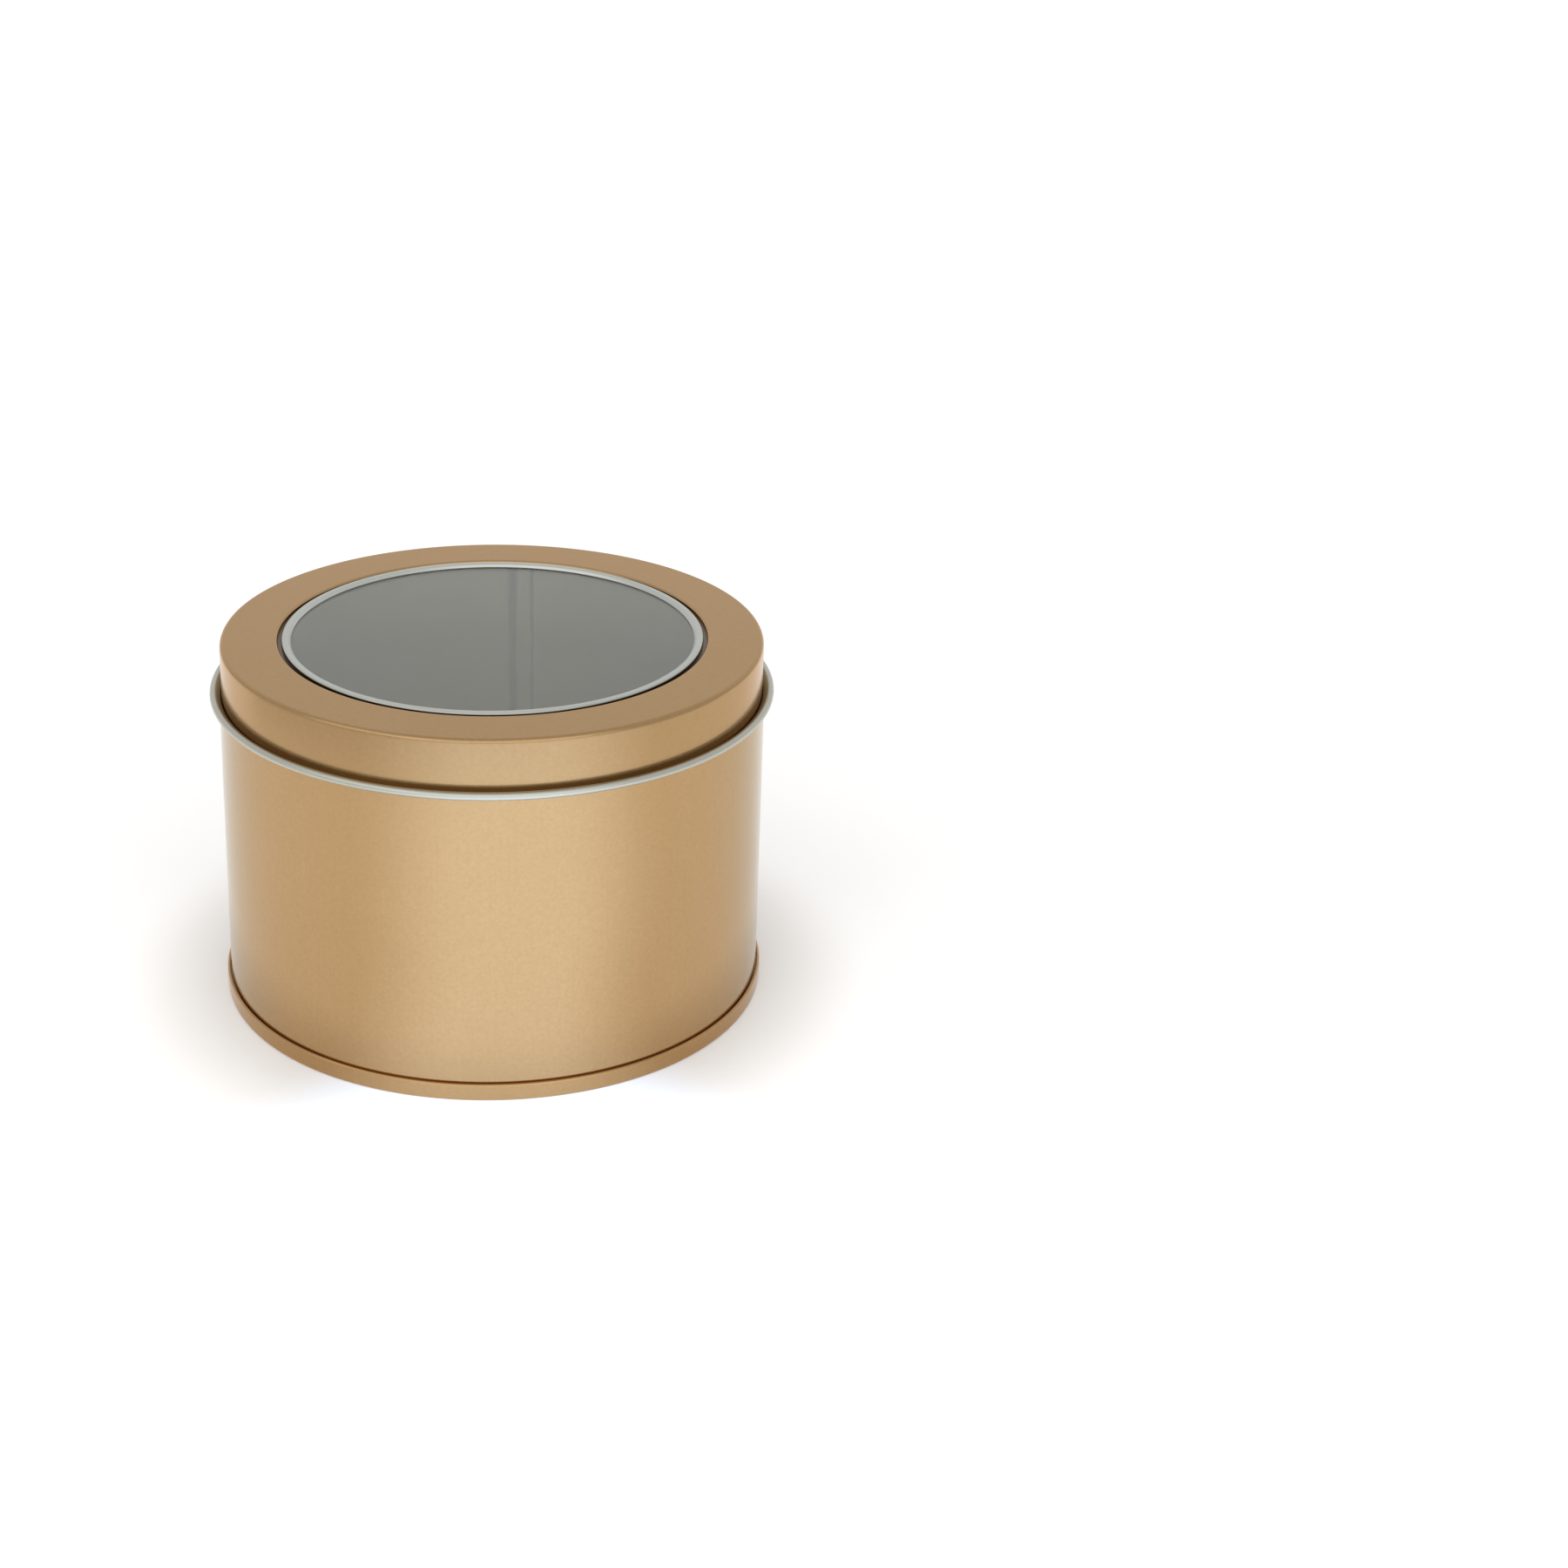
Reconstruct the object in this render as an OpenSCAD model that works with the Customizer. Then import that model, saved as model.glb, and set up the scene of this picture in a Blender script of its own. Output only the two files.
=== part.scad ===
/* [Body] */
// Outside diameter of the body wall
body_d = 76; // [60:1:110]
// Height of the body, table to the top of the curled edge
body_h = 45.1; // [30:0.1:80]
// Sheet thickness of the outer wall
wall_t = 0.25; // [0.2:0.01:0.3]

/* [Curled top edge] */
// Outside diameter of the curl's section
curl_d = 1.1; // [1:0.05:1.3]
// How far the curl stands out past the wall
curl_out = 1.3; // [1.25:0.05:1.6]
// Angle by which the wall leans out below the curl
flare_angle = 45; // [40:1:50]
// Outer bend radius where the wall starts to lean out
flare_bend_r = 0.22; // [0.15:0.01:0.3]
// Angle at which the cut edge of the curl ends
curl_end_angle = 205; // [200:1:225]

/* [Side seams] */
// Direction of both side seams, from +X towards +Y
seam_azimuth = 88; // [60:1:120]
// Width of the seam flap inside the liner
flap_w = 3.1; // [2.5:0.1:5]
// How far the flap stands in from the liner
flap_t = 0.25; // [0.15:0.01:0.3]
// Width of the seam line pressed into the outer wall
seam_line_w = 0.35; // [0.2:0.05:0.6]
// Depth of that seam line
seam_line_depth = 0.08; // [0.05:0.01:0.12]

/* [Inner liner and neck] */
// Sheet thickness of the liner
liner_t = 0.25; // [0.2:0.01:0.3]
// Space between the neck's edge and the lid's shoulder above it
neck_gap = 0.05; // [0.02:0.01:0.2]

/* [Base end] */
// Sheet thickness of the base
base_t = 0.25; // [0.2:0.01:0.3]
// Height of the rolled rim
rim_h = 2.5; // [2.3:0.05:3.5]
// Height of the underside of the base panel above the table
panel_rise = 2.1; // [1.6:0.05:3]
// Outer corner radius at the foot of the rim
rim_foot_r = 0.35; // [0.25:0.01:0.4]
// Outer bend radius where the panel meets the rim
panel_bend_r = 0.45; // [0.35:0.01:0.5]
// Play between the folded sheets of the seam
seam_gap = 0.03; // [0.02:0.01:0.05]

/* [Lid] */
// Height of the lid
lid_h = 8.05; // [7:0.05:13]
// Sheet thickness of the lid
lid_t = 0.25; // [0.2:0.01:0.3]
// Radial clearance between the skirt and the neck
lid_fit = 0.1; // [0.08:0.01:0.2]
// Outer radius of the shoulder
shoulder_r = 0.6; // [0.4:0.05:1.5]
// Radial space between the skirt and the outer wall
skirt_play = 0.05; // [0.04:0.01:0.25]
// How far the skirt reaches down inside the outer wall
skirt_depth = 0.3; // [0.1:0.05:2]

/* [Window opening] */
// Width of the lid's border, from the skirt's face to the opening
border_w = 7.9; // [4:0.05:12]
// Outer bend radius of the lip
lip_bend_r = 0.35; // [0.3:0.01:0.4]

/* [Window ring] */
// Sheet thickness of the ring
ring_t = 0.25; // [0.2:0.01:0.3]
// Gap between the lip and the ring
ring_gap = 0.55; // [0.2:0.01:0.7]
// Width of the ring seen from above
ring_w = 1.25; // [1.1:0.05:3]
// How far the ring stands above the lid panel
ring_proud = 0.1; // [0:0.01:0.3]
// Outer bend radius on the ring's outer edge
crown_out_r = 0.35; // [0.3:0.01:0.4]
// Outer bend radius on the ring's inner edge
crown_in_r = 0.35; // [0.32:0.01:0.4]
// Angle at which the inner edge slopes down to the pane
crown_slope = 50; // [40:1:70]
// How far the inner edge comes down from the crown
crown_drop = 0.4; // [0.36:0.01:0.6]
// How far the ring's foot reaches out under the panel
foot_w = 1.7; // [1.2:0.05:3]
// How far the folded-back foot reaches in under the pane
shelf_w = 0.75; // [0.7:0.05:1.1]

/* [Window pane] */
// Thickness of the clear pane
pane_t = 0.5; // [0.3:0.05:0.8]
// Play around the edge of the pane
pane_edge_gap = 0.2; // [0.1:0.01:0.3]
// Play between the pane and the ring's inner edge
pane_play = 0.05; // [0.02:0.01:0.2]
// Play between sheets that lie on each other in the lid
seat_gap = 0.02; // [0.01:0.01:0.05]

/* [Hidden] */
$fn = 96;
// Facets of the small circles that the bends are cut from
bend_facets = 32;
// Cuts run this far past the faces they go through
overrun = 1;
// Strips of one section that meet at a slant share this much
lap = 0.01;

// Radii of the outer wall, the lid's skirt inside it and the liner inside the skirt
wall_r = body_d / 2;
wall_in_r = wall_r - wall_t;
skirt_r = wall_in_r - skirt_play;
skirt_in_r = skirt_r - lid_t;
liner_r = skirt_in_r - lid_fit;
liner_in_r = liner_r - liner_t;

// Base rim: the wall's folded hem lies inside the rim
hem_r = wall_r + wall_t;
rim_in_r = hem_r + seam_gap;
rim_r = rim_in_r + base_t;
hem_z = base_t + seam_gap;
hem_top_z = rim_h - base_t - seam_gap;
drop_r = wall_in_r - seam_gap;
drop_in_r = drop_r - base_t;
panel_top_z = panel_rise + base_t;

// Curl and the leaning wall under it
curl_r = curl_d / 2;
curl_at_r = wall_r + curl_out - curl_r;
curl_at_z = body_h - curl_r;
flare_at_r = wall_r + flare_bend_r;
flare_out_r = flare_bend_r + wall_t;
lean_dr = curl_at_r - flare_at_r;
lean_dz = (flare_out_r - curl_r + lean_dr * cos(flare_angle)) / sin(flare_angle);
flare_at_z = curl_at_z - lean_dz;
lean_len = lean_dr * sin(flare_angle) + lean_dz * cos(flare_angle);

// The skirt reaches down between wall and neck, and the neck's edge carries the shoulder
skirt_z = flare_at_z - skirt_depth;
closed_h = skirt_z + lid_h;
lid_under_z = closed_h - lid_t;
shoulder_in_r = shoulder_r - lid_t;
shoulder_z = closed_h - shoulder_r;
neck_z = shoulder_z + sqrt(lid_fit * (2 * shoulder_in_r - lid_fit)) - neck_gap;
liner_z = panel_top_z + seat_gap;

// Window ring and pane, from the ring's crown down
lip_r = skirt_r - border_w;
ring_r = lip_r - ring_gap;
ring_in_r = ring_r - ring_w;
ring_leg_r = ring_r - ring_t;
crown_z = closed_h + ring_proud;
crown_turn_r = crown_in_r * sin(crown_slope);
crown_slope_drop = crown_drop - crown_in_r * (1 - cos(crown_slope));
crown_at_r = ring_in_r + crown_turn_r + crown_slope_drop / tan(crown_slope);
pane_top_z = crown_z - crown_drop - pane_play;
pane_z = pane_top_z - pane_t;
shelf_top_z = pane_z - seat_gap;
foot_top_z = shelf_top_z + ring_t;
shelf_z = shelf_top_z - ring_t;
foot_r = ring_r + foot_w;
shelf_in_r = ring_r - shelf_w;
pane_r = ring_leg_r - pane_edge_gap;
lip_z = foot_top_z + seat_gap;

function toward(a) = [cos(a), sin(a)];
function crown_turn(r) = [crown_at_r, crown_z - crown_in_r] + r * toward(90 + crown_slope)
    - lap * toward(180 + crown_slope);

// A bent strip of sheet: outer radius, thickness, from one angle to the other
module bend(r, t, from, to) {
    intersection() {
        difference() {
            circle(r, $fn = bend_facets);
            circle(r - t, $fn = bend_facets);
        }
        polygon([
            [0, 0],
            2 * r * toward(from),
            2 * r * toward((from + to) / 2),
            2 * r * toward(to)
        ]);
    }
}

// Straight strip of the outer wall with the hem folded up at its foot
module wall_section() {
    translate([wall_in_r, hem_z + wall_t])
        square([wall_t, flare_at_z - hem_z - wall_t]);
    translate([wall_r, hem_z + wall_t])
        square([wall_t, hem_top_z - hem_z - wall_t]);
    intersection() {
        translate([wall_r, hem_z + wall_t])
            circle(wall_t, $fn = bend_facets);
        translate([wall_in_r, hem_z])
            square([2 * wall_t, wall_t]);
    }
}

// The wall leans out and rolls over into the curl
module curl_section() {
    translate([flare_at_r, flare_at_z])
        bend(flare_out_r, wall_t, 180 - flare_angle, 180);
    translate([flare_at_r, flare_at_z])
        rotate(90 - flare_angle)
            translate([-lap, flare_bend_r])
                square([lean_len + 2 * lap, wall_t]);
    translate([curl_at_r, curl_at_z])
        difference() {
            circle(curl_r, $fn = bend_facets);
            circle(curl_r - wall_t, $fn = bend_facets);
            polygon([
                [0, 0],
                2 * curl_r * toward(180 - flare_angle),
                2 * curl_r * toward(90 - flare_angle / 2 + curl_end_angle / 2),
                2 * curl_r * toward(curl_end_angle)
            ]);
        }
}

module outer_wall() {
    color("#c99a66")
        difference() {
            rotate_extrude() {
                wall_section();
                curl_section();
            }
            rotate([0, 0, seam_azimuth])
                translate([wall_r - seam_line_depth, -seam_line_w / 2, rim_h])
                    cube([seam_line_depth + wall_t, seam_line_w, flare_at_z - rim_h]);
        }
}

module inner_liner() {
    color("#c6c6c0") {
        translate([0, 0, liner_z])
            difference() {
                cylinder(r = liner_r, h = neck_z - liner_z);
                translate([0, 0, -overrun])
                    cylinder(r = liner_in_r, h = neck_z - liner_z + 2 * overrun);
            }
        intersection() {
            translate([0, 0, liner_z])
                difference() {
                    cylinder(r = liner_in_r + liner_t / 2, h = neck_z - liner_z);
                    translate([0, 0, -overrun])
                        cylinder(r = liner_in_r - flap_t, h = neck_z - liner_z + 2 * overrun);
                }
            rotate([0, 0, seam_azimuth])
                translate([0, -flap_w / 2, liner_z])
                    cube([body_d, flap_w, neck_z - liner_z]);
        }
    }
}

// Section of the base: panel, bend, drop, foot and rolled rim
module base_section() {
    translate([0, panel_rise])
        square([drop_r - panel_bend_r, base_t]);
    translate([drop_r - panel_bend_r, panel_top_z - panel_bend_r])
        bend(panel_bend_r, base_t, 0, 90);
    translate([drop_in_r, rim_foot_r])
        square([base_t, panel_top_z - panel_bend_r - rim_foot_r]);
    difference() {
        union() {
            translate([drop_in_r + rim_foot_r, 0])
                square([rim_r - drop_in_r - 2 * rim_foot_r, base_t]);
            intersection() {
                translate([drop_in_r + rim_foot_r, rim_foot_r])
                    circle(rim_foot_r, $fn = bend_facets);
                translate([drop_in_r, 0])
                    square([rim_foot_r, rim_foot_r]);
            }
            intersection() {
                translate([rim_r - rim_foot_r, rim_foot_r])
                    circle(rim_foot_r, $fn = bend_facets);
                translate([rim_r - rim_foot_r, 0])
                    square([rim_foot_r, rim_foot_r]);
            }
        }
        translate([drop_r, base_t])
            square([rim_in_r - drop_r, rim_h]);
    }
    translate([rim_in_r, rim_foot_r])
        square([base_t, rim_h - base_t - rim_foot_r]);
    intersection() {
        translate([rim_in_r, rim_h - base_t])
            circle(base_t, $fn = bend_facets);
        translate([wall_r + seam_gap, rim_h - base_t])
            square([rim_r - wall_r - seam_gap, base_t]);
    }
}

module base_end() {
    color("#b98a58")
        rotate_extrude()
            base_section();
}

// Section of the lid: skirt, shoulder, panel and turned-down lip
module lid_section() {
    translate([skirt_in_r, skirt_z])
        square([lid_t, shoulder_z - skirt_z]);
    translate([skirt_r - shoulder_r, shoulder_z])
        bend(shoulder_r, lid_t, 0, 90);
    translate([lip_r + lip_bend_r, lid_under_z])
        square([skirt_r - shoulder_r - lip_r - lip_bend_r, lid_t]);
    translate([lip_r + lip_bend_r, closed_h - lip_bend_r])
        bend(lip_bend_r, lid_t, 90, 180);
    translate([lip_r, lip_z])
        square([lid_t, closed_h - lip_bend_r - lip_z]);
}

module lid_shell() {
    color("#cf9f6c")
        rotate_extrude()
            lid_section();
}

// The crown bends over, slopes down to the pane and is cut level above it
module crown_edge_section() {
    translate([crown_at_r, crown_z - crown_in_r])
        bend(crown_in_r, ring_t, 90, 90 + crown_slope);
    polygon([
        crown_turn(crown_in_r),
        [ring_in_r, crown_z - crown_drop],
        [ring_in_r + ring_t / sin(crown_slope), crown_z - crown_drop],
        crown_turn(crown_in_r - ring_t)
    ]);
}

// Section of the ring: crown over the pane, leg through the opening, folded foot
module ring_section() {
    crown_edge_section();
    polygon([
        [crown_at_r, crown_z - ring_t],
        [ring_r - crown_out_r, crown_z - ring_t],
        [ring_r - crown_out_r, crown_z],
        [crown_at_r, crown_z]
    ]);
    translate([ring_r - crown_out_r, crown_z - crown_out_r])
        bend(crown_out_r, ring_t, 0, 90);
    translate([ring_leg_r, shelf_top_z])
        square([ring_t, crown_z - crown_out_r - shelf_top_z]);
    translate([ring_leg_r, shelf_top_z])
        square([foot_r - ring_t - ring_leg_r, ring_t]);
    translate([shelf_in_r, shelf_z])
        square([foot_r - ring_t - shelf_in_r, ring_t]);
    intersection() {
        translate([foot_r - ring_t, shelf_top_z])
            circle(ring_t, $fn = bend_facets);
        translate([foot_r - ring_t, shelf_z])
            square([ring_t, 2 * ring_t]);
    }
}

module window_ring() {
    color("#d3d4ce")
        rotate_extrude()
            ring_section();
}

module window_pane() {
    color("#dfe8ea")
        translate([0, 0, pane_z])
            cylinder(r = pane_r, h = pane_t);
}

outer_wall();
inner_liner();
base_end();
lid_shell();
window_ring();
window_pane();
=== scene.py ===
import math

import bmesh
import bpy
from mathutils import Euler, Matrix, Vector


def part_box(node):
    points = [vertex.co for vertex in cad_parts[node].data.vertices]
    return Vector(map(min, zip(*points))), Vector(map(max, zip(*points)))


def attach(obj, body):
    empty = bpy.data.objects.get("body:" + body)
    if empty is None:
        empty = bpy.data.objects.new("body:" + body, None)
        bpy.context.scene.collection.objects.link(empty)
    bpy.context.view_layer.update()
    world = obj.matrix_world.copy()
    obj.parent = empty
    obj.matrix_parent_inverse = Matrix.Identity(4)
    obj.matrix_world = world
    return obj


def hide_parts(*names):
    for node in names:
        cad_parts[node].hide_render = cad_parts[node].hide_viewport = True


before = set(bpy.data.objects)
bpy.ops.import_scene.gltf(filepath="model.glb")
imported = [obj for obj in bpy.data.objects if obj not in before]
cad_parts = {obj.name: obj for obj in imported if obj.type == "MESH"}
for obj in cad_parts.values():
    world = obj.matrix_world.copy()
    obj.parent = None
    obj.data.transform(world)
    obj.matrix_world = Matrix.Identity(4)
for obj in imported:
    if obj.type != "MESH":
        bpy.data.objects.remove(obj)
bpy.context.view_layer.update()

MM = 0.001
TAU = 2 * math.pi
SMOOTH = "SMOOTHSTEP"


# Sizes in millimetres: the boxes of the frame's nodes, and the sizes that drive the solids too

def node_box(name):
    low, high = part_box(name)
    return [v / MM for v in low], [v / MM for v in high]


wall_low, wall_high = node_box("outer_wall")
liner_low, liner_high = node_box("inner_liner")
base_high = node_box("base_end")[1]
lid_low, lid_high = node_box("lid_shell")
ring_low, ring_high = node_box("window_ring")
pane_low, pane_high = node_box("window_pane")

sheet = 0.25
seam_play = 0.03
seat_gap = 0.02
cut_edge = 0.08

# Wall, curl and side seams
wall_r = 38.0
wall_in_r = wall_r - sheet
hem_r = wall_r + sheet
curl_r = 0.55
flare_angle = 45
flare_bend_r = 0.22
curl_end_angle = 205
seam_azimuth = 88
seam_line_w = 0.35
seam_line_depth = 0.08
seam_line_side = 0.04
flap_w = 3.1
flap_easing = 0.9
flap_step = 0.12

curl_at_r = wall_high[0] - curl_r
curl_at_z = wall_high[2] - curl_r
flare_at_r = wall_r + flare_bend_r
flare_out_r = flare_bend_r + sheet
lean = math.radians(flare_angle)
lean_dz = (flare_out_r - curl_r + (curl_at_r - flare_at_r) * math.cos(lean)) / math.sin(lean)
flare_at_z = curl_at_z - lean_dz

# Base
rim_foot_r = 0.35
panel_bend_r = 0.45
rim_r = base_high[0]
rim_in_r = rim_r - sheet
rim_h = base_high[2]
drop_r = wall_in_r - seam_play
drop_in_r = drop_r - sheet
panel_top = liner_low[2] - seat_gap
hem_z = wall_low[2]
hem_top = rim_h - sheet - seam_play
seam_foot = rim_h - 0.1
seam_top = flare_at_z - 0.3

# Lid
shoulder_r = 0.6
lip_r = 29.8
lip_bend_r = 0.35
skirt_edge = 0.12
skirt_r = lid_high[0]
skirt_in_r = skirt_r - sheet
skirt_z = lid_low[2]
lid_top = lid_high[2]

# Window ring and pane
ring_r = 29.25
ring_w = 1.25
crown_out_r = 0.35
crown_in_r = 0.35
crown_slope = 50
crown_drop = 0.4
shelf_w = 0.75
pane_edge = 0.05
tip_over_pane = 0.005
crown_z = ring_high[2]
shelf_z = ring_low[2]
foot_r = ring_high[0]
ring_in_r = ring_r - ring_w
leg_r = ring_r - sheet
shelf_in_r = ring_r - shelf_w
shelf_top = shelf_z + sheet
foot_top = shelf_top + sheet
lip_z = foot_top + seat_gap
slope = math.radians(crown_slope)
straight_drop = crown_drop - crown_in_r * (1 - math.cos(slope))
crown_at_r = ring_in_r + crown_in_r * math.sin(slope) + straight_drop / math.tan(slope)


# Node helpers

def add(tree, kind, **settings):
    node = tree.nodes.new(kind)
    for key, value in settings.items():
        setattr(node, key, value)
    return node


def feed(tree, socket, value):
    """Links an output to a socket, or sets the socket to a plain value."""
    if isinstance(value, bpy.types.NodeSocket):
        tree.links.new(value, socket)
    else:
        socket.default_value = value


def maths(tree, operation, first, second=None):
    node = add(tree, "ShaderNodeMath", operation=operation)
    feed(tree, node.inputs[0], first)
    if second is not None:
        feed(tree, node.inputs[1], second)
    return node.outputs[0]


def chain(tree, operation, first, *others):
    """Applies one operation along a row of values."""
    for other in others:
        first = maths(tree, operation, first, other)
    return first


def map_range(tree, value, span, to, curve):
    """Maps a span of values onto another one, and holds it level outside."""
    node = add(tree, "ShaderNodeMapRange", interpolation_type=curve)
    feed(tree, node.inputs["Value"], value)
    for key, end in zip(("From Min", "From Max", "To Min", "To Max"), (*span, *to)):
        node.inputs[key].default_value = end
    return node.outputs["Result"]


def angles(*degrees):
    return tuple(math.radians(angle) for angle in degrees)


# Materials

class Finish:
    """A material on object coordinates in millimetres."""

    def __init__(self, name):
        self.material = bpy.data.materials.new(name)
        self.material.use_nodes = True
        self.tree = self.material.node_tree
        self.shader = self.tree.nodes["Principled BSDF"]
        place = add(self.tree, "ShaderNodeTexCoord")
        scaled = add(self.tree, "ShaderNodeVectorMath", operation="SCALE")
        self.tree.links.new(place.outputs["Object"], scaled.inputs[0])
        scaled.inputs["Scale"].default_value = 1 / MM
        self.place = scaled.outputs[0]
        split = add(self.tree, "ShaderNodeSeparateXYZ")
        self.tree.links.new(self.place, split.inputs[0])
        self.x, self.y, self.z = split.outputs

    def stretched(self, *scale):
        node = add(self.tree, "ShaderNodeVectorMath", operation="MULTIPLY")
        self.tree.links.new(self.place, node.inputs[0])
        node.inputs[1].default_value = scale
        return node.outputs[0]

    def across(self):
        """Distance from the tin's axis."""
        node = add(self.tree, "ShaderNodeVectorMath", operation="LENGTH")
        self.tree.links.new(self.stretched(1.0, 1.0, 0.0), node.inputs[0])
        return node.outputs["Value"]

    def away(self, x):
        """Distance from a point on the ground, x to the right of the tin's axis."""
        node = add(self.tree, "ShaderNodeVectorMath", operation="DISTANCE")
        self.tree.links.new(self.place, node.inputs[0])
        node.inputs[1].default_value = (x, 0, 0)
        return node.outputs["Value"]

    def around(self, radius, per_mm, along_z):
        """Coordinates that run round the wall and up it; the joint is at the side seam."""
        tree = self.tree
        start = math.radians(seam_azimuth) + math.pi
        cos, sin = math.cos(start), math.sin(start)
        ahead = maths(tree, "ADD", maths(tree, "MULTIPLY", self.x, cos),
                      maths(tree, "MULTIPLY", self.y, sin))
        aside = maths(tree, "SUBTRACT", maths(tree, "MULTIPLY", self.y, cos),
                      maths(tree, "MULTIPLY", self.x, sin))
        arc = maths(tree, "MULTIPLY", maths(tree, "ARCTAN2", aside, ahead), radius * per_mm)
        join = add(tree, "ShaderNodeCombineXYZ")
        tree.links.new(arc, join.inputs[0])
        tree.links.new(maths(tree, "MULTIPLY", self.z, along_z), join.inputs[1])
        return join.outputs[0]

    def noise(self, vector, scale, detail, rough):
        node = add(self.tree, "ShaderNodeTexNoise")
        feed(self.tree, node.inputs["Vector"], vector)
        node.inputs["Scale"].default_value = scale
        node.inputs["Detail"].default_value = detail
        node.inputs["Roughness"].default_value = rough
        return node.outputs["Fac"]

    def cells(self, scale, out):
        node = add(self.tree, "ShaderNodeTexVoronoi")
        feed(self.tree, node.inputs["Vector"], self.place)
        node.inputs["Scale"].default_value = scale
        return node.outputs[out]

    def weigh(self, *pairs):
        """Sum of values, each with its weight."""
        parts = [maths(self.tree, "MULTIPLY", value, weight) for value, weight in pairs]
        return chain(self.tree, "ADD", *parts)

    def spread(self, value, span, to=(0.0, 1.0), curve="LINEAR"):
        return map_range(self.tree, value, span, to, curve)

    def blend(self, factor, first, second, mode="MIX"):
        node = add(self.tree, "ShaderNodeMix", data_type="RGBA", blend_type=mode)
        feed(self.tree, node.inputs["Factor"], factor)
        feed(self.tree, node.inputs["A"], first)
        feed(self.tree, node.inputs["B"], second)
        return node.outputs["Result"]

    def bump(self, height, strength, distance, normal=None):
        node = add(self.tree, "ShaderNodeBump")
        feed(self.tree, node.inputs["Height"], height)
        node.inputs["Strength"].default_value = strength
        node.inputs["Distance"].default_value = distance * MM
        if normal is not None:
            self.tree.links.new(normal, node.inputs["Normal"])
        return node.outputs["Normal"]

    def set(self, **sockets):
        for key, value in sockets.items():
            feed(self.tree, self.shader.inputs[key.replace("_", " ")], value)


def rgb(r, g, b):
    return (r, g, b, 1.0)


def lacquer(name, tone, deep, edge, rough):
    """Copper-toned metallic lacquer: flake, rolled grain of the sheet under it, thin clear coat."""
    look = Finish(name)
    flake = look.cells(scale=2.6, out="Color")
    fine = look.noise(look.place, scale=1.7, detail=3.0, rough=0.65)
    cloud = look.noise(look.place, scale=0.09, detail=3.0, rough=0.55)
    lines = look.around(wall_r, per_mm=3.0, along_z=0.045)
    grain = look.noise(lines, scale=1.0, detail=4.0, rough=0.6)
    mottle = look.spread(look.weigh((flake, 0.20), (fine, 0.55), (grain, 0.25)), (0.30, 0.70))
    colour = look.blend(mottle, rgb(*deep), rgb(*tone))
    colour = look.blend(look.spread(cloud, (0.35, 0.65), (0.0, 0.22)), colour, rgb(*deep))
    roughness = look.spread(maths(look.tree, "ADD", fine, grain), (0.6, 1.4), rough)
    normal = look.bump(flake, strength=0.10, distance=0.02)
    normal = look.bump(grain, strength=0.08, distance=0.03, normal=normal)
    look.set(Base_Color=colour, Metallic=1.0, Roughness=roughness, Normal=normal,
             Specular_Tint=rgb(*edge), Coat_Weight=0.18, Coat_Roughness=0.08, Coat_IOR=1.5)
    return look.material


def bare_tin(name, tone, deep, rough, round_wall=True, dull_and_shade=None, dull_and_shade_colour=None):
    """Bare tinplate: satin, with the fine lines of the rolling and a faint cloudiness."""
    look = Finish(name)
    if round_wall:
        lines = look.around(wall_r, per_mm=5.0, along_z=0.05)
    else:
        lines = look.stretched(5.0, 0.08, 0.08)
    grain = look.noise(lines, scale=1.0, detail=4.0, rough=0.65)
    fine = look.noise(look.place, scale=5.0, detail=2.0, rough=0.5)
    cloud = look.noise(look.place, scale=0.12, detail=3.0, rough=0.5)
    mottle = look.spread(look.weigh((grain, 0.65), (fine, 0.35)), (0.3, 0.7))
    colour = look.blend(mottle, rgb(*deep), rgb(*tone))
    colour = look.blend(look.spread(cloud, (0.35, 0.65), (0.0, 0.25)), colour, rgb(*deep))
    # An optional mask darkens the tin towards a second colour: painted shade, and on the liner also a
    # duller outside
    if dull_and_shade is not None:
        colour = look.blend(dull_and_shade(look), colour, rgb(*dull_and_shade_colour))
    roughness = look.spread(maths(look.tree, "ADD", grain, cloud), (0.7, 1.3), rough)
    normal = look.bump(grain, strength=0.05, distance=0.01)
    look.set(Base_Color=colour, Metallic=1.0, Roughness=roughness, Normal=normal)
    return look.material


def liner_dull_and_painted_shade(look):
    """Painted light and shade on the liner: lighter near its mouth where light falls in, darker lower down,
    and painted shade along both edges of its seam's lap; it is also dull outside.
    """
    tree = look.tree
    out_r = liner_high[0]
    in_r = out_r - sheet
    arc = maths(tree, "MULTIPLY", maths(tree, "ARCTAN2", look.y, look.x), in_r)
    from_seam = maths(tree, "SUBTRACT", arc, math.radians(seam_azimuth) * in_r)

    def line_at(offset, span, strength):
        distance = maths(tree, "ABSOLUTE", maths(tree, "SUBTRACT", from_seam, offset))
        return look.spread(distance, span, (strength, 0.0), SMOOTH)

    # Painted shade along both edges of the seam's lap
    wide = line_at(flap_w / 2 - 0.1, (0.25, 1.1), 0.80)
    thin = line_at(-flap_w / 2, (0.12, 0.4), 0.66)
    # Painted light and shade: darker lower down, lighter near the mouth where light falls in
    painted_shade_below_mouth = look.spread(look.z, (35, 47), (0.365, 0.0), SMOOTH)
    outside = look.spread(look.across(), (out_r - 0.15, out_r - 0.05), (0.0, 0.39))
    return chain(tree, "MAXIMUM", painted_shade_below_mouth, outside, wide, thin)


def ring_shade(look):
    """Painted shade: the ring's leg and foot down in the opening are darkened, unlike its lighter slope."""
    deep = look.spread(look.z, (crown_z - 0.30, crown_z - 0.10), (1.0, 0.0))
    outer = look.spread(look.across(), (ring_r - 0.25, ring_r - 0.15))
    return maths(look.tree, "MULTIPLY", deep, outer)


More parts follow.
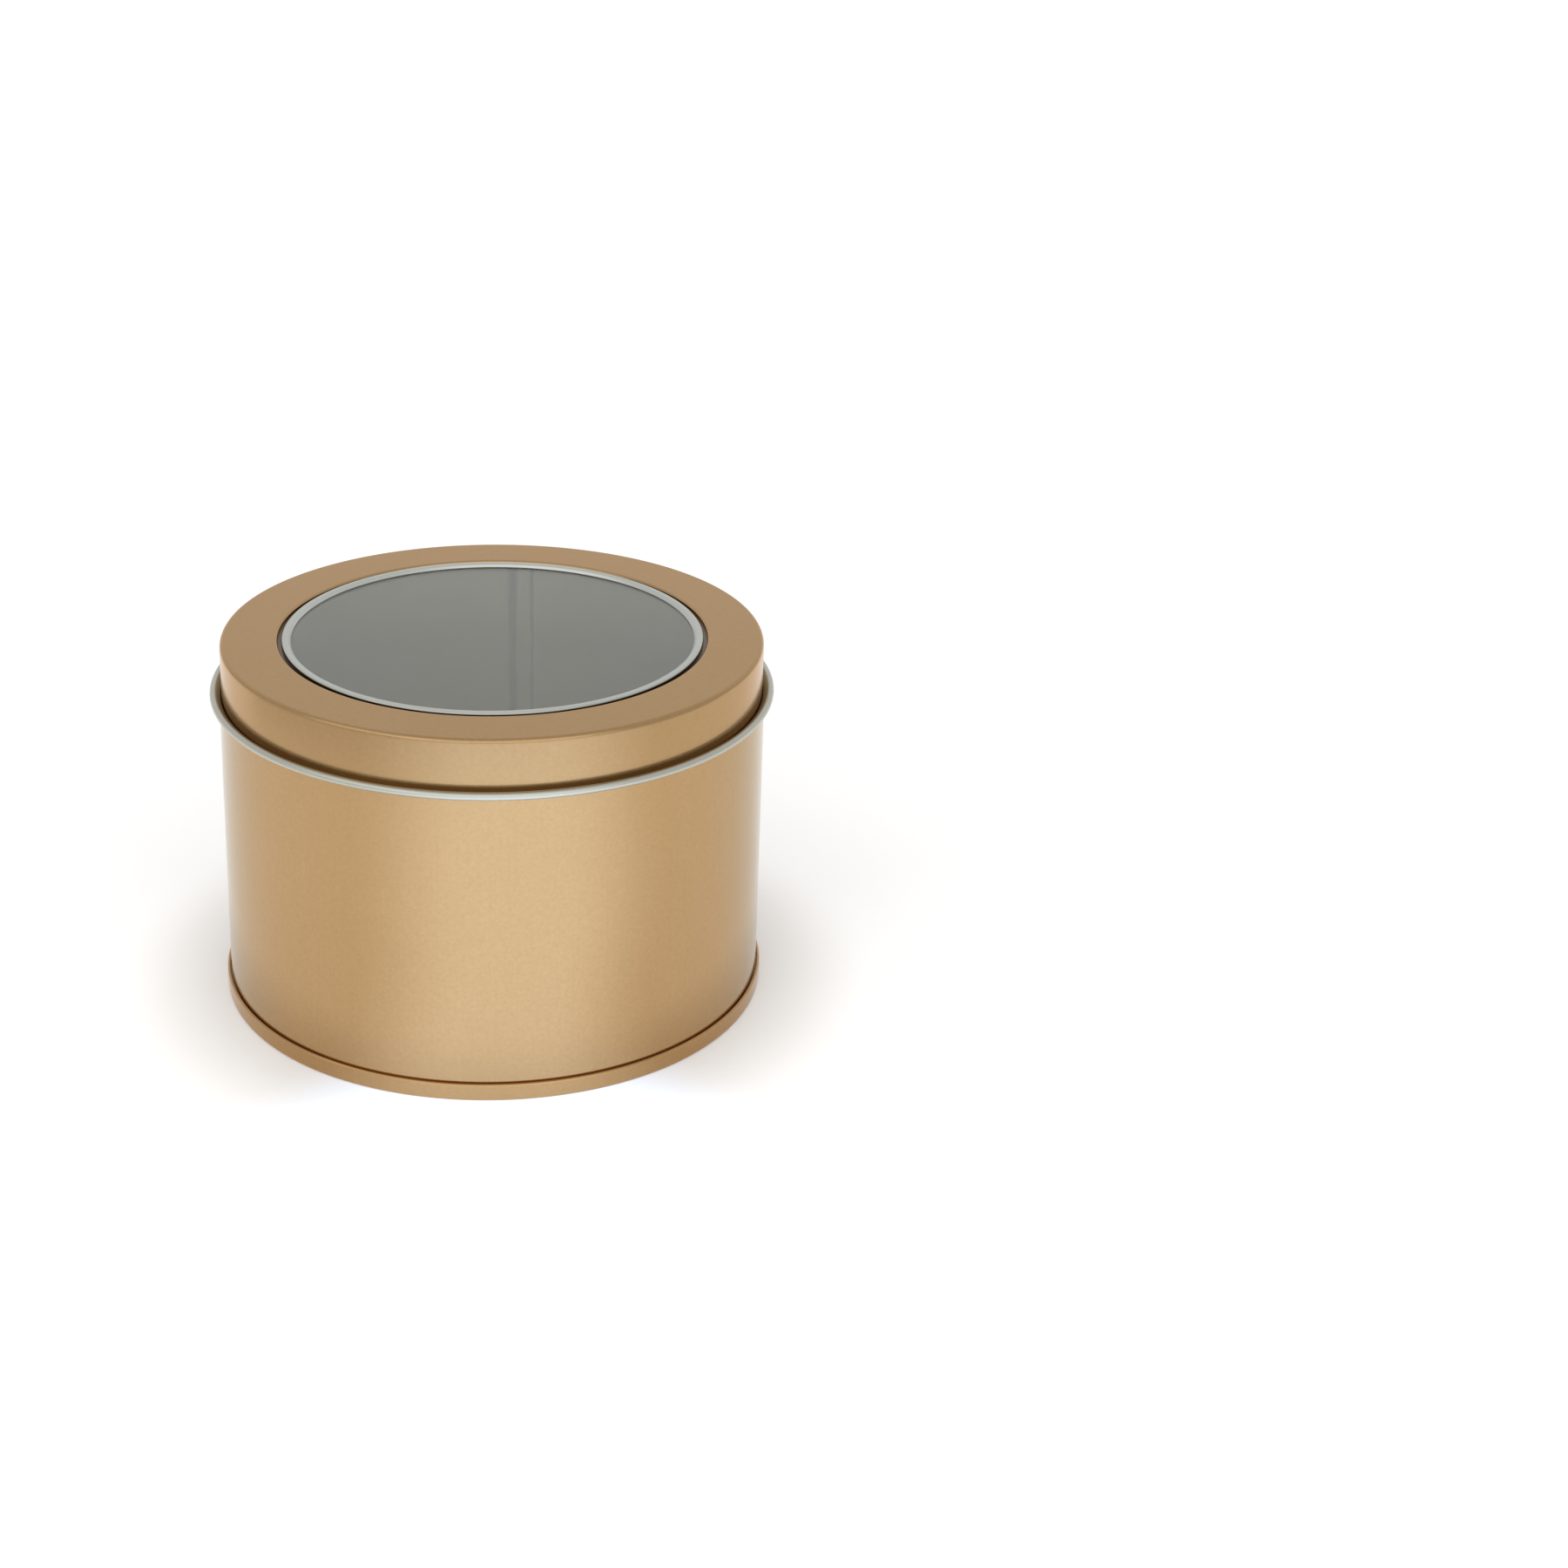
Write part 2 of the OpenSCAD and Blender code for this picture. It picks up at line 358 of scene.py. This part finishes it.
def clear_sheet(name):
    """Clear plastic sheet with a few dust specks and a very faint haze."""
    look = Finish(name)
    dust = look.spread(look.cells(scale=0.22, out="Distance"), (0.0, 0.05), (1.0, 0.0))
    smear = look.noise(look.place, scale=0.08, detail=4.0, rough=0.6)
    haze = look.spread(smear, (0.4, 0.7), (0.02, 0.06))
    roughness = maths(look.tree, "MAXIMUM", haze, maths(look.tree, "MULTIPLY", dust, 0.5))
    colour = look.blend(dust, rgb(0.945, 0.95, 0.865), rgb(0.70, 0.70, 0.65))
    look.set(Base_Color=colour, Roughness=roughness, Transmission_Weight=1.0, IOR=1.42)
    return look.material


wall_lacquer = lacquer("wall_lacquer", (0.463, 0.294, 0.140), (0.417, 0.260, 0.120),
                       edge=(0.93, 0.94, 0.91), rough=(0.12, 0.18))
lid_lacquer = lacquer("lid_lacquer", (0.431, 0.273, 0.128), (0.388, 0.242, 0.110),
                      edge=(1.0, 0.88, 0.76), rough=(0.16, 0.22))
base_lacquer = lacquer("base_lacquer", (0.463, 0.280, 0.123), (0.417, 0.248, 0.106),
                       edge=(1.0, 0.95, 0.90), rough=(0.12, 0.18))
liner_tin = bare_tin("bare_tinplate", (0.87, 0.87, 0.80), (0.82, 0.82, 0.75),
                     rough=(0.46, 0.54), dull_and_shade=liner_dull_and_painted_shade, dull_and_shade_colour=(0.10, 0.10, 0.085))
flat_tin = bare_tin("bare_tinplate_flat", (0.74, 0.745, 0.69), (0.70, 0.705, 0.65),
                    rough=(0.34, 0.42), round_wall=False)
curl_tin = bare_tin("edge_tinplate", (0.505, 0.505, 0.44), (0.465, 0.465, 0.405),
                    rough=(0.28, 0.36))
# The ring's warm dark colour is painted shade in the gap beside the lip, with a painted reflection of the
# copper lip
ring_tin = bare_tin("ring_tinplate", (0.555, 0.57, 0.53), (0.50, 0.515, 0.475),
                    rough=(0.28, 0.36), dull_and_shade=ring_shade, dull_and_shade_colour=(0.12, 0.085, 0.055))
# The ring's inner slope is a lighter tin than the rest: painted light
slope_tin_painted_light = bare_tin("slope_tinplate_painted_light", (0.59, 0.60, 0.565), (0.545, 0.555, 0.52),
                     rough=(0.28, 0.36))
pane_clear = clear_sheet("clear_pane")


# Sections of bent sheet

# Which of turn()'s two materials a stretch takes; the ring's first one is the tin of its slope, lighter
# than the rest: painted light
LACQUERED, BARE = 0, 1
PAINTED_LIGHT_SLOPE = LACQUERED

steps_round = 288
weld_distance = 1e-7


def on_arc(at_r, at_z, radius, degrees):
    angle = math.radians(degrees)
    return at_r + radius * math.cos(angle), at_z + radius * math.sin(angle)


class Section:
    """Closed outline in the plane of radius and height; every stretch has a finish."""

    end_keep = 0.1
    long_line = 0.6
    same_point = 1e-6

    def __init__(self, r, z):
        self.points = [(r, z)]
        self.finish = []

    def line(self, r, z, finish):
        """A straight stretch; a long one gets a point near each end, so a bend beside it leaves it flat."""
        last_r, last_z = self.points[-1]
        length = math.dist((last_r, last_z), (r, z))
        if length > self.long_line:
            for share in (self.end_keep / length, 1 - self.end_keep / length):
                self.points.append((last_r + (r - last_r) * share, last_z + (z - last_z) * share))
                self.finish.append(finish)
        self.points.append((r, z))
        self.finish.append(finish)

    def bend(self, at_r, at_z, radius, start, end, finish, steps=8):
        """An arc that starts where the outline is and turns about (at_r, at_z)."""
        for i in range(1, steps + 1):
            self.line(*on_arc(at_r, at_z, radius, start + (end - start) * i / steps), finish)

    def mesh(self, name):
        points, finish = self.points, list(self.finish)
        if math.dist(points[0], points[-1]) < self.same_point:
            points = points[:-1]
        else:
            finish.append(finish[-1])
        mesh = bpy.data.meshes.new(name)
        count = len(points)
        corners = [(r * MM, 0, z * MM) for r, z in points]
        mesh.from_pydata(corners, [(i, (i + 1) % count) for i in range(count)], [])
        mark = mesh.attributes.new("bare", "INT", "POINT")
        mark.data.foreach_set("value", finish)
        return mesh


def turned_sheet_tree():
    """Turns a section round the tin's axis, with a material for each finish."""
    tree = bpy.data.node_groups.new("turned_sheet", "GeometryNodeTree")
    tree.interface.new_socket("Section", in_out="INPUT", socket_type="NodeSocketGeometry")
    for name, kind in (("Steps round", "NodeSocketInt"), ("Join within", "NodeSocketFloat"),
                       ("Lacquer", "NodeSocketMaterial"), ("Bare metal", "NodeSocketMaterial")):
        tree.interface.new_socket(name, in_out="INPUT", socket_type=kind)
    tree.interface.new_socket("Sheet", in_out="OUTPUT", socket_type="NodeSocketGeometry")
    given = add(tree, "NodeGroupInput")
    result = add(tree, "NodeGroupOutput")
    link = tree.links.new
    section, steps = given.outputs["Section"], given.outputs["Steps round"]

    # A grid with a row for each point of the section and a column for each step round
    count = add(tree, "GeometryNodeAttributeDomainSize", component="MESH")
    link(section, count.inputs[0])
    rows = maths(tree, "ADD", count.outputs["Point Count"], 1)
    columns = maths(tree, "ADD", steps, 1)
    grid = add(tree, "GeometryNodeMeshGrid")
    link(rows, grid.inputs["Vertices X"])
    link(columns, grid.inputs["Vertices Y"])

    # Each grid point goes to its section point, turned by its column
    index = add(tree, "GeometryNodeInputIndex").outputs[0]
    row = maths(tree, "FLOOR", maths(tree, "DIVIDE", index, columns))
    row = maths(tree, "MODULO", row, count.outputs["Point Count"])
    column = maths(tree, "MODULO", index, columns)
    turn_by = maths(tree, "MULTIPLY", maths(tree, "DIVIDE", column, steps), TAU)
    place = add(tree, "GeometryNodeSampleIndex", data_type="FLOAT_VECTOR", domain="POINT")
    link(section, place.inputs["Geometry"])
    link(add(tree, "GeometryNodeInputPosition").outputs[0], place.inputs["Value"])
    link(row, place.inputs["Index"])
    turned = add(tree, "ShaderNodeVectorRotate", rotation_type="Z_AXIS")
    link(place.outputs[0], turned.inputs["Vector"])
    link(turn_by, turned.inputs["Angle"])
    moved = add(tree, "GeometryNodeSetPosition")
    link(grid.outputs["Mesh"], moved.inputs["Geometry"])
    link(turned.outputs[0], moved.inputs["Position"])

    # Each face keeps the finish of its stretch, and the joint round the tin is closed
    face_row = maths(tree, "FLOOR", maths(tree, "DIVIDE", index, steps))
    mark = add(tree, "GeometryNodeInputNamedAttribute", data_type="INT")
    mark.inputs["Name"].default_value = "bare"
    finish = add(tree, "GeometryNodeSampleIndex", data_type="INT", domain="POINT")
    link(section, finish.inputs["Geometry"])
    link(mark.outputs[0], finish.inputs["Value"])
    link(face_row, finish.inputs["Index"])
    stored = add(tree, "GeometryNodeStoreNamedAttribute", data_type="INT", domain="FACE")
    stored.inputs["Name"].default_value = "finish"
    link(moved.outputs[0], stored.inputs["Geometry"])
    link(finish.outputs[0], stored.inputs["Value"])
    joined = add(tree, "GeometryNodeMergeByDistance")
    link(stored.outputs[0], joined.inputs["Geometry"])
    link(given.outputs["Join within"], joined.inputs["Distance"])

    # The first material everywhere, then the second on the faces marked for it
    smooth = add(tree, "GeometryNodeSetShadeSmooth")
    link(joined.outputs[0], smooth.inputs["Geometry"])
    real = add(tree, "GeometryNodeRealizeInstances")
    link(smooth.outputs[0], real.inputs[0])
    shell = add(tree, "GeometryNodeSetMaterial")
    link(real.outputs[0], shell.inputs["Geometry"])
    link(given.outputs["Lacquer"], shell.inputs["Material"])
    chosen = add(tree, "GeometryNodeInputNamedAttribute", data_type="INT")
    chosen.inputs["Name"].default_value = "finish"
    inner = add(tree, "GeometryNodeSetMaterial")
    link(shell.outputs[0], inner.inputs["Geometry"])
    link(chosen.outputs[0], inner.inputs["Selection"])
    link(given.outputs["Bare metal"], inner.inputs["Material"])
    link(inner.outputs[0], result.inputs[0])
    return tree


turned_sheet = turned_sheet_tree()


def set_input(modifier, name, value):
    for item in modifier.node_group.interface.items_tree:
        if item.item_type == "SOCKET" and item.in_out == "INPUT" and item.name == name:
            modifier[item.identifier] = value
            return
    raise KeyError(name)


def new_object(name, mesh):
    piece = bpy.data.objects.new(name, mesh)
    bpy.context.scene.collection.objects.link(piece)
    return piece


def finish_mesh(mesh, sharp_degrees=30):
    """Closed, outward-facing, smooth apart from folds."""
    work = bmesh.new()
    work.from_mesh(mesh)
    bmesh.ops.remove_doubles(work, verts=work.verts, dist=weld_distance)
    bmesh.ops.recalc_face_normals(work, faces=work.faces)
    if work.calc_volume(signed=True) < 0:
        bmesh.ops.reverse_faces(work, faces=work.faces)
    for face in work.faces:
        face.smooth = True
    work.to_mesh(mesh)
    work.free()
    mesh.set_sharp_from_angle(angle=math.radians(sharp_degrees))


def turn(name, section, first, second, steps=steps_round):
    """A piece turned from its section, with its two materials."""
    start = new_object(name + "_section", section.mesh(name + "_section"))
    modifier = start.modifiers.new("turned_sheet", "NODES")
    modifier.node_group = turned_sheet
    set_input(modifier, "Steps round", steps)
    set_input(modifier, "Join within", weld_distance)
    set_input(modifier, "Lacquer", first)
    set_input(modifier, "Bare metal", second)
    graph = bpy.context.evaluated_depsgraph_get()
    mesh = bpy.data.meshes.new_from_object(start.evaluated_get(graph), depsgraph=graph)
    mesh.name = name
    start.modifiers.remove(modifier)
    bpy.data.objects.remove(start)
    finish_mesh(mesh)
    return new_object(name, mesh)


def stand_for(piece, node, body):
    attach(piece, body)
    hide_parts(node)


# Body

def curled_wall():
    """Wall with its hem folded up at the foot and its top leaning out into the curl."""
    tip = 180 - flare_angle
    curl_end = curl_end_angle - 360
    outline = Section(wall_in_r, hem_z + sheet)
    outline.line(wall_in_r, flare_at_z, BARE)
    outline.bend(flare_at_r, flare_at_z, flare_out_r, 180, tip, BARE, steps=6)
    outline.line(*on_arc(curl_at_r, curl_at_z, curl_r, tip), BARE)
    outline.bend(curl_at_r, curl_at_z, curl_r, tip, curl_end, BARE, steps=26)
    outline.line(*on_arc(curl_at_r, curl_at_z, curl_r - sheet, curl_end), BARE)
    outline.bend(curl_at_r, curl_at_z, curl_r - sheet, curl_end, tip, LACQUERED, steps=18)
    outline.line(*on_arc(flare_at_r, flare_at_z, flare_bend_r, tip), LACQUERED)
    outline.bend(flare_at_r, flare_at_z, flare_bend_r, tip, 180, LACQUERED, steps=6)
    outline.line(wall_r, seam_top, LACQUERED)
    outline.line(wall_r, seam_foot, LACQUERED)
    outline.line(wall_r, hem_top, LACQUERED)
    outline.line(hem_r, hem_top, BARE)
    outline.line(hem_r, hem_z + sheet, BARE)
    outline.bend(wall_r, hem_z + sheet, sheet, 0, -180, BARE, steps=10)
    return outline


def press_seam(mesh):
    """Presses the side seam's line into the outer face of the wall."""
    middle = math.radians(seam_azimuth)
    out = Vector((math.cos(middle), math.sin(middle), 0))
    across = Vector((-math.sin(middle), math.cos(middle), 0))
    half, side = seam_line_w / 2 * MM, seam_line_side * MM
    margin, reach, on_face = 0.05 * MM, 2.0 * MM, 0.02 * MM
    low, high = seam_foot * MM - margin, seam_top * MM + margin
    face_r, inside_r, top = wall_r * MM, (wall_r - sheet / 2) * MM, flare_at_z * MM
    work = bmesh.new()
    work.from_mesh(mesh)

    def near_seam(face):
        at = face.calc_center_median()
        return low < at.z < top and at.dot(out) > inside_r and abs(at.dot(across)) < reach

    for shift in (-half - side, -half + side, half - side, half + side):
        faces = [face for face in work.faces if near_seam(face)]
        edges = {edge for face in faces for edge in face.edges}
        verts = {vert for face in faces for vert in face.verts}
        bmesh.ops.bisect_plane(work, geom=faces + list(edges) + list(verts), dist=1e-8,
                               plane_co=across * shift, plane_no=across)
    for vert in work.verts:
        r = math.hypot(vert.co.x, vert.co.y)
        in_line = abs(vert.co.dot(across)) < half - side + weld_distance and vert.co.dot(out) > 0
        if in_line and abs(r - face_r) < on_face and low < vert.co.z < high:
            vert.co.x *= 1 - seam_line_depth * MM / r
            vert.co.y *= 1 - seam_line_depth * MM / r
    work.to_mesh(mesh)
    work.free()
    finish_mesh(mesh)


def rolled_base():
    """Base panel, its bend down to the foot, and the rim rolled over the wall's hem."""
    bend_at_r, bend_at_z = drop_r - panel_bend_r, panel_top - panel_bend_r
    outline = Section(0, panel_top)
    outline.line(bend_at_r, panel_top, BARE)
    outline.bend(bend_at_r, bend_at_z, panel_bend_r, 90, 0, BARE)
    outline.line(drop_r, sheet, BARE)
    outline.line(rim_in_r, sheet, BARE)
    outline.line(rim_in_r, rim_h - sheet, BARE)
    outline.line(rim_in_r - sheet, rim_h - sheet, BARE)
    outline.bend(rim_in_r, rim_h - sheet, sheet, 180, 0, LACQUERED, steps=16)
    outline.line(rim_r, rim_foot_r, LACQUERED)
    outline.bend(rim_r - rim_foot_r, rim_foot_r, rim_foot_r, 0, -90, LACQUERED)
    outline.line(drop_in_r + rim_foot_r, 0, LACQUERED)
    outline.bend(drop_in_r + rim_foot_r, rim_foot_r, rim_foot_r, -90, -180, LACQUERED)
    outline.line(drop_in_r, bend_at_z, LACQUERED)
    outline.bend(bend_at_r, bend_at_z, panel_bend_r - sheet, 0, 90, LACQUERED)
    outline.line(0, panel_top - sheet, LACQUERED)
    return outline


def lined_neck():
    """The liner: a tube with the lapped side seam, drawn in plan and raised."""
    out_r, in_r = liner_high[0], liner_high[0] - sheet
    low_z, high_z = liner_low[2], liner_high[2]
    middle = math.radians(seam_azimuth)
    half = flap_w / 2 / in_r
    easing, step = flap_easing / in_r, flap_step / in_r
    crease = 0.0004

    def inset(azimuth):
        """How far the flap stands in at one angle: a step on one side, an easing on the other."""
        off = (azimuth - middle + math.pi) % TAU - math.pi
        left, right = half - off, off + half
        if left <= 0 or right <= 0:
            return 0.0
        return sheet * min(1, left / easing) * min(1, right / step)

    azimuths = [TAU * i / steps_round for i in range(steps_round)]
    for edge in (-half, -half + step, half - easing, half):
        azimuths += [middle + edge - crease, middle + edge + crease]
    azimuths = sorted(azimuth % TAU for azimuth in azimuths)
    levels = [("out", low_z + cut_edge, 0), ("out", high_z - cut_edge, 0),
              ("out", high_z, -cut_edge), ("in", high_z, cut_edge),
              ("in", high_z - cut_edge, 0), ("in", low_z + cut_edge, 0),
              ("in", low_z, cut_edge), ("out", low_z, -cut_edge)]
    work = bmesh.new()
    rings = []
    for side, z, shift in levels:
        ring = []
        for azimuth in azimuths:
            r = (out_r if side == "out" else in_r - inset(azimuth)) + shift
            ring.append(work.verts.new((r * math.cos(azimuth) * MM, r * math.sin(azimuth) * MM, z * MM)))
        rings.append(ring)
    count = len(azimuths)
    for lower, upper in zip(rings, rings[1:] + rings[:1]):
        for i in range(count):
            j = (i + 1) % count
            work.faces.new((lower[i], lower[j], upper[j], upper[i]))
    mesh = bpy.data.meshes.new("inner_liner_sheet")
    work.to_mesh(mesh)
    work.free()
    mesh.materials.append(liner_tin)
    finish_mesh(mesh)
    return new_object("inner_liner_sheet", mesh)


wall_piece = turn("curled_wall", curled_wall(), wall_lacquer, curl_tin)
press_seam(wall_piece.data)
stand_for(wall_piece, "outer_wall", "tin")
base_piece = turn("rolled_base", rolled_base(), base_lacquer, flat_tin)
stand_for(base_piece, "base_end", "tin")
liner_piece = lined_neck()
stand_for(liner_piece, "inner_liner", "tin")


# Lid

def lid_sheet():
    """Skirt, shoulder, panel and turned-down lip."""
    shoulder_at_r, shoulder_at_z = skirt_r - shoulder_r, lid_top - shoulder_r
    lip_at_r, lip_at_z = lip_r + lip_bend_r, lid_top - lip_bend_r
    outline = Section(skirt_in_r, skirt_z)
    outline.line(skirt_in_r, shoulder_at_z, BARE)
    outline.bend(shoulder_at_r, shoulder_at_z, shoulder_r - sheet, 0, 90, BARE)
    outline.line(lip_at_r, lid_top - sheet, BARE)
    outline.bend(lip_at_r, lip_at_z, lip_bend_r - sheet, 90, 180, BARE, steps=5)
    outline.line(lip_r + sheet, lip_z, BARE)
    outline.line(lip_r, lip_z, LACQUERED)
    outline.line(lip_r, lip_at_z, LACQUERED)
    outline.bend(lip_at_r, lip_at_z, lip_bend_r, 180, 90, LACQUERED)
    outline.line(shoulder_at_r, lid_top, LACQUERED)
    outline.bend(shoulder_at_r, shoulder_at_z, shoulder_r, 90, 0, LACQUERED, steps=10)
    outline.line(skirt_r, skirt_z + skirt_edge, LACQUERED)
    outline.line(skirt_r - cut_edge, skirt_z, LACQUERED)
    return outline


def ring_sheet():
    """Crown over the pane with its inner edge sloping down, leg, and foot folded back under the pane."""
    turn_z = crown_z - crown_in_r
    out_r, out_z = ring_r - crown_out_r, crown_z - crown_out_r
    tip = 90 + crown_slope
    tip_z = pane_high[2] + tip_over_pane
    outline = Section(ring_in_r, tip_z)
    outline.line(*on_arc(crown_at_r, turn_z, crown_in_r, tip), PAINTED_LIGHT_SLOPE)
    outline.bend(crown_at_r, turn_z, crown_in_r, tip, 90, BARE)
    outline.line(out_r, crown_z, BARE)
    outline.bend(out_r, out_z, crown_out_r, 90, 0, BARE)
    outline.line(ring_r, foot_top, BARE)
    outline.line(foot_r - sheet, foot_top, BARE)
    outline.bend(foot_r - sheet, shelf_top, sheet, 90, -90, BARE, steps=10)
    outline.line(shelf_in_r, shelf_z, BARE)
    outline.line(shelf_in_r, shelf_top, BARE)
    outline.line(leg_r, shelf_top, BARE)
    outline.line(leg_r, out_z, BARE)
    outline.bend(out_r, out_z, crown_out_r - sheet, 0, 90, BARE, steps=4)
    outline.line(crown_at_r, crown_z - sheet, BARE)
    outline.bend(crown_at_r, turn_z, crown_in_r - sheet, 90, tip, BARE, steps=4)
    outline.line(ring_in_r + sheet / math.sin(slope), crown_z - crown_drop, BARE)
    outline.line(ring_in_r + cut_edge, tip_z, BARE)
    return outline


def pane_disc():
    """Flat disc with its edges just broken; both finishes are the one clear material."""
    r, low, high = pane_high[0], pane_low[2], pane_high[2]
    outline = Section(0, low)
    outline.line(r - pane_edge, low, BARE)
    outline.line(r, low + pane_edge, BARE)
    outline.line(r, high - pane_edge, BARE)
    outline.line(r - pane_edge, high, BARE)
    outline.line(0, high, BARE)
    return outline


lid_piece = turn("lid_sheet", lid_sheet(), lid_lacquer, flat_tin)
stand_for(lid_piece, "lid_shell", "lid")
ring_piece = turn("window_ring_sheet", ring_sheet(), slope_tin_painted_light, ring_tin)
stand_for(ring_piece, "window_ring", "lid")
pane_piece = turn("window_sheet", pane_disc(), pane_clear, pane_clear, steps=steps_round // 2)
stand_for(pane_piece, "window_pane", "lid")


# Floor, light and camera

def painted_light_table():
    """Glowing white table: a painted pool of light in a wedge in front, painted shade at the tin's foot,
    dimmer far out.
    """
    look = Finish("painted_light_table")
    tree = look.tree
    tooth = look.noise(look.place, scale=0.8, detail=3.0, rough=0.5)
    colour = look.blend(look.spread(tooth, (0.3, 0.7)), rgb(0.89, 0.89, 0.885), rgb(0.905, 0.905, 0.90))

    # The painted pool of light is a wedge that turns from the front a little to the right, is narrower at
    # the foot, and is gone far out
    reach = look.away(0)
    bearing = maths(tree, "ARCTAN2", look.x, maths(tree, "MULTIPLY", look.y, -1.0))
    middle = look.spread(reach, (42, 90), angles(5, 11), SMOOTH)
    off = maths(tree, "ABSOLUTE", maths(tree, "SUBTRACT", bearing, middle))
    off = maths(tree, "MULTIPLY", off, look.spread(reach, (42, 100), (1.35, 1.0), SMOOTH))
    light_pool = look.spread(off, angles(12, 60), (1.0, 0.0), SMOOTH)
    light_pool = maths(tree, "MULTIPLY", light_pool, look.spread(reach, (280, 700), (1.0, 0.0), SMOOTH))

    # The even glow is dimmed at the foot as painted shade, is weaker behind, and fades out in front and at
    # the sides
    side = maths(tree, "ABSOLUTE", bearing)
    foot_shade = look.spread(reach, (38.5, 56), (0.34, 1.0), SMOOTH)
    rear = look.spread(side, angles(80, 120), (1.0, 0.75))
    fade = maths(tree, "MULTIPLY", look.spread(look.away(18), (144, 172), (0.0, 0.9), SMOOTH),
                 look.spread(side, angles(94, 110), (1.0, 0.0), SMOOTH))
    even = chain(tree, "MULTIPLY", foot_shade, rear, maths(tree, "SUBTRACT", 1.0, fade))
    glow = look.blend(even, rgb(0, 0, 0), rgb(0.34, 0.34, 0.34))
    glow = look.blend(light_pool, glow, rgb(0.41, 0.58, 0.86), "ADD")
    look.set(Base_Color=colour, Roughness=0.85, Emission_Color=glow, Emission_Strength=1.0)
    return look.material


def floor(radius=4.0):
    mesh = bpy.data.meshes.new("floor")
    work = bmesh.new()
    bmesh.ops.create_circle(work, cap_ends=True, segments=96, radius=radius)
    work.to_mesh(mesh)
    work.free()
    mesh.materials.append(painted_light_table())
    piece = new_object("floor", mesh)


def softbox(name, at, aim, width, height, power):
    light = bpy.data.lights.new(name, "AREA")
    light.shape = "RECTANGLE"
    light.size, light.size_y = width, height
    light.energy = power
    lamp = bpy.data.objects.new(name, light)
    lamp.location = at
    lamp.rotation_euler = (Vector(aim) - Vector(at)).to_track_quat("-Z", "Y").to_euler()
    bpy.context.scene.collection.objects.link(lamp)


def studio(level, front, back):
    """Even light from all round, stronger from a wide soft screen low in front and a faint one behind."""
    world = bpy.data.worlds.new("studio")
    world.use_nodes = True
    tree = world.node_tree
    place = add(tree, "ShaderNodeTexCoord").outputs["Generated"]

    def screen(aim, span, gain):
        facing = add(tree, "ShaderNodeVectorMath", operation="DOT_PRODUCT")
        tree.links.new(place, facing.inputs[0])
        facing.inputs[1].default_value = Vector(aim).normalized()
        return map_range(tree, facing.outputs["Value"], span, (0.0, gain), SMOOTH)

    screens = maths(tree, "ADD", screen((0.15, -0.93, 0.34), (0.6, 0.95), front - level),
                    screen((0.0, 0.93, 0.37), (0.5, 0.9), back - level))
    background = tree.nodes["Background"].inputs
    tree.links.new(maths(tree, "ADD", screens, level), background["Strength"])
    background["Color"].default_value = rgb(1.0, 1.0, 1.0)
    bpy.context.scene.world = world
    bpy.context.scene.view_settings.view_transform = "Standard"


def photograph_camera():
    data = bpy.data.cameras.new("camera")
    data.sensor_width = 36
    data.lens = 60.0972
    data.shift_x = 0.0556
    data.shift_y = -0.1
    camera = bpy.data.objects.new("camera", data)
    camera.location = (0.028285, -0.340199, 0.183528)
    camera.rotation_euler = Euler(angles(69.0572, -1.2708, 0.4863), "XYZ")
    bpy.context.scene.collection.objects.link(camera)
    bpy.context.scene.camera = camera


floor()
studio(level=0.74, front=1.45, back=0.83)
softbox("light_left", at=(-0.9, -0.7, 0.9), aim=(0, 0, 0.02), width=1.2, height=1.2, power=2.0)
photograph_camera()
